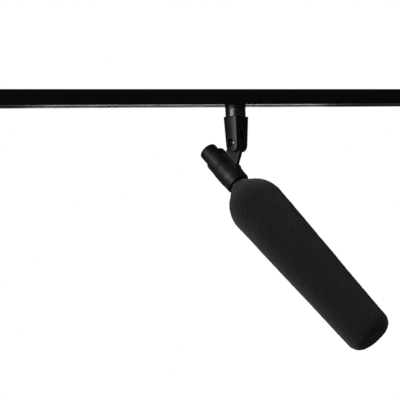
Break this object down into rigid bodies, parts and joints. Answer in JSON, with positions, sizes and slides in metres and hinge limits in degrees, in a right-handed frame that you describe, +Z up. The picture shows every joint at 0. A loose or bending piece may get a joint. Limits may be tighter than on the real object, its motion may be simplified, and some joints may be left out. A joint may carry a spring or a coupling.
{
  "type": "track mounted boom microphone",
  "caption": "Directional microphone in a tapered foam windscreen, held by a tilting swivel clip that hangs from a carriage in a slotted ceiling track.",
  "frame": {"origin": "centre of the track's top (ceiling) face, above the swivel axis", "axes": "+X along the track, +Z up to the ceiling, -Y the side that the windscreen points to"},
  "size_m": [0.5422, 0.1791, 0.2503],
  "materials": {
    "black_track": "black powder coat, satin",
    "black_insulator": "matte",
    "copper": "drawn",
    "black_moulding": "fine texture",
    "white_moulding": "smooth",
    "plated_screw": "satin",
    "black_screw": "satin",
    "black_rubber": "matte",
    "brass_parts": "turned",
    "plated_steel": "satin",
    "dark_plated_metal": "turned, dark plating",
    "black_metal": "satin",
    "black_nylon": "semi-matte moulded",
    "clip_rubber": "semi-matte moulded",
    "mic_black": "black anodised",
    "silver_pins": "silver plated",
    "circuit_board": "solder mask",
    "metal_film": "thin metallised film",
    "acoustic_cloth": "woven",
    "windscreen_foam": "open-cell foam"
  },
  "bodies": {
    "track": {"track_profile": "black_track", "front_insulator": "black_insulator", "rear_insulator": "black_insulator", "front_conductor": "copper", "rear_conductor": "copper", "end_cap": "black_moulding", "feed_housing": "black_moulding", "feed_cover": "black_moulding", "feed_cover_screws": "plated_screw", "cable_grommet": "black_rubber", "terminal_block": "white_moulding", "terminal_screws": "brass_parts"},
    "carriage": {"carriage_block": "black_moulding", "front_glide_strip": "white_moulding", "rear_glide_strip": "white_moulding", "swivel_stud": "plated_steel", "stop_flange": "black_metal"},
    "lock_ring": {"lock_ring": "dark_plated_metal"},
    "fork": {"fork_body": "black_nylon", "thread_bush": "brass_parts", "pivot_bolt": "black_screw", "pivot_nut": "plated_steel", "near_friction_washer": "white_moulding", "far_friction_washer": "white_moulding"},
    "clip": {"clip_body": "clip_rubber"},
    "microphone": {"barrel_tube": "mic_black", "connector_insert": "black_insulator", "contact_pins": "silver_pins", "set_screw": "black_screw", "circuit_board": "circuit_board", "output_transformer": "plated_steel", "capsule_cup": "mic_black", "diaphragm": "metal_film", "back_plate": "brass_parts", "insulating_ring": "white_moulding", "interference_tube": "mic_black", "acoustic_cloth": "acoustic_cloth", "nose_grille": "mic_black"},
    "windscreen": {"foam_windscreen": "windscreen_foam"}
  },
  "joints": [
    {"name": "carriage_slide", "type": "slide", "parent": "track", "child": "carriage", "axis": [1, 0, 0], "range_m": [-0.2, 0.2]},
    {"name": "lock_ring_turn", "type": "hinge", "parent": "carriage", "child": "lock_ring", "pos_m": [0, 0, -0.0217], "axis": [0, 0, 1], "range_deg": [0, 90]},
    {"name": "swivel", "type": "hinge", "parent": "carriage", "child": "fork", "pos_m": [0, 0, -0.0317], "axis": [0, 0, 1], "range_deg": [-175, 175]},
    {"name": "tilt", "type": "hinge", "parent": "fork", "child": "clip", "pos_m": [0, 0, -0.052], "axis": [0.8387, 0.5446, 0], "range_deg": [-43.7, 46.3]},
    {"name": "barrel_slide", "type": "slide", "parent": "clip", "child": "microphone", "axis": [0.3938, -0.6063, -0.6909], "range_m": [0, 0.014]},
    {"name": "windscreen_pull", "type": "slide", "parent": "microphone", "child": "windscreen", "axis": [0.3938, -0.6063, -0.6909], "range_m": [0, 0.2]}
  ]
}
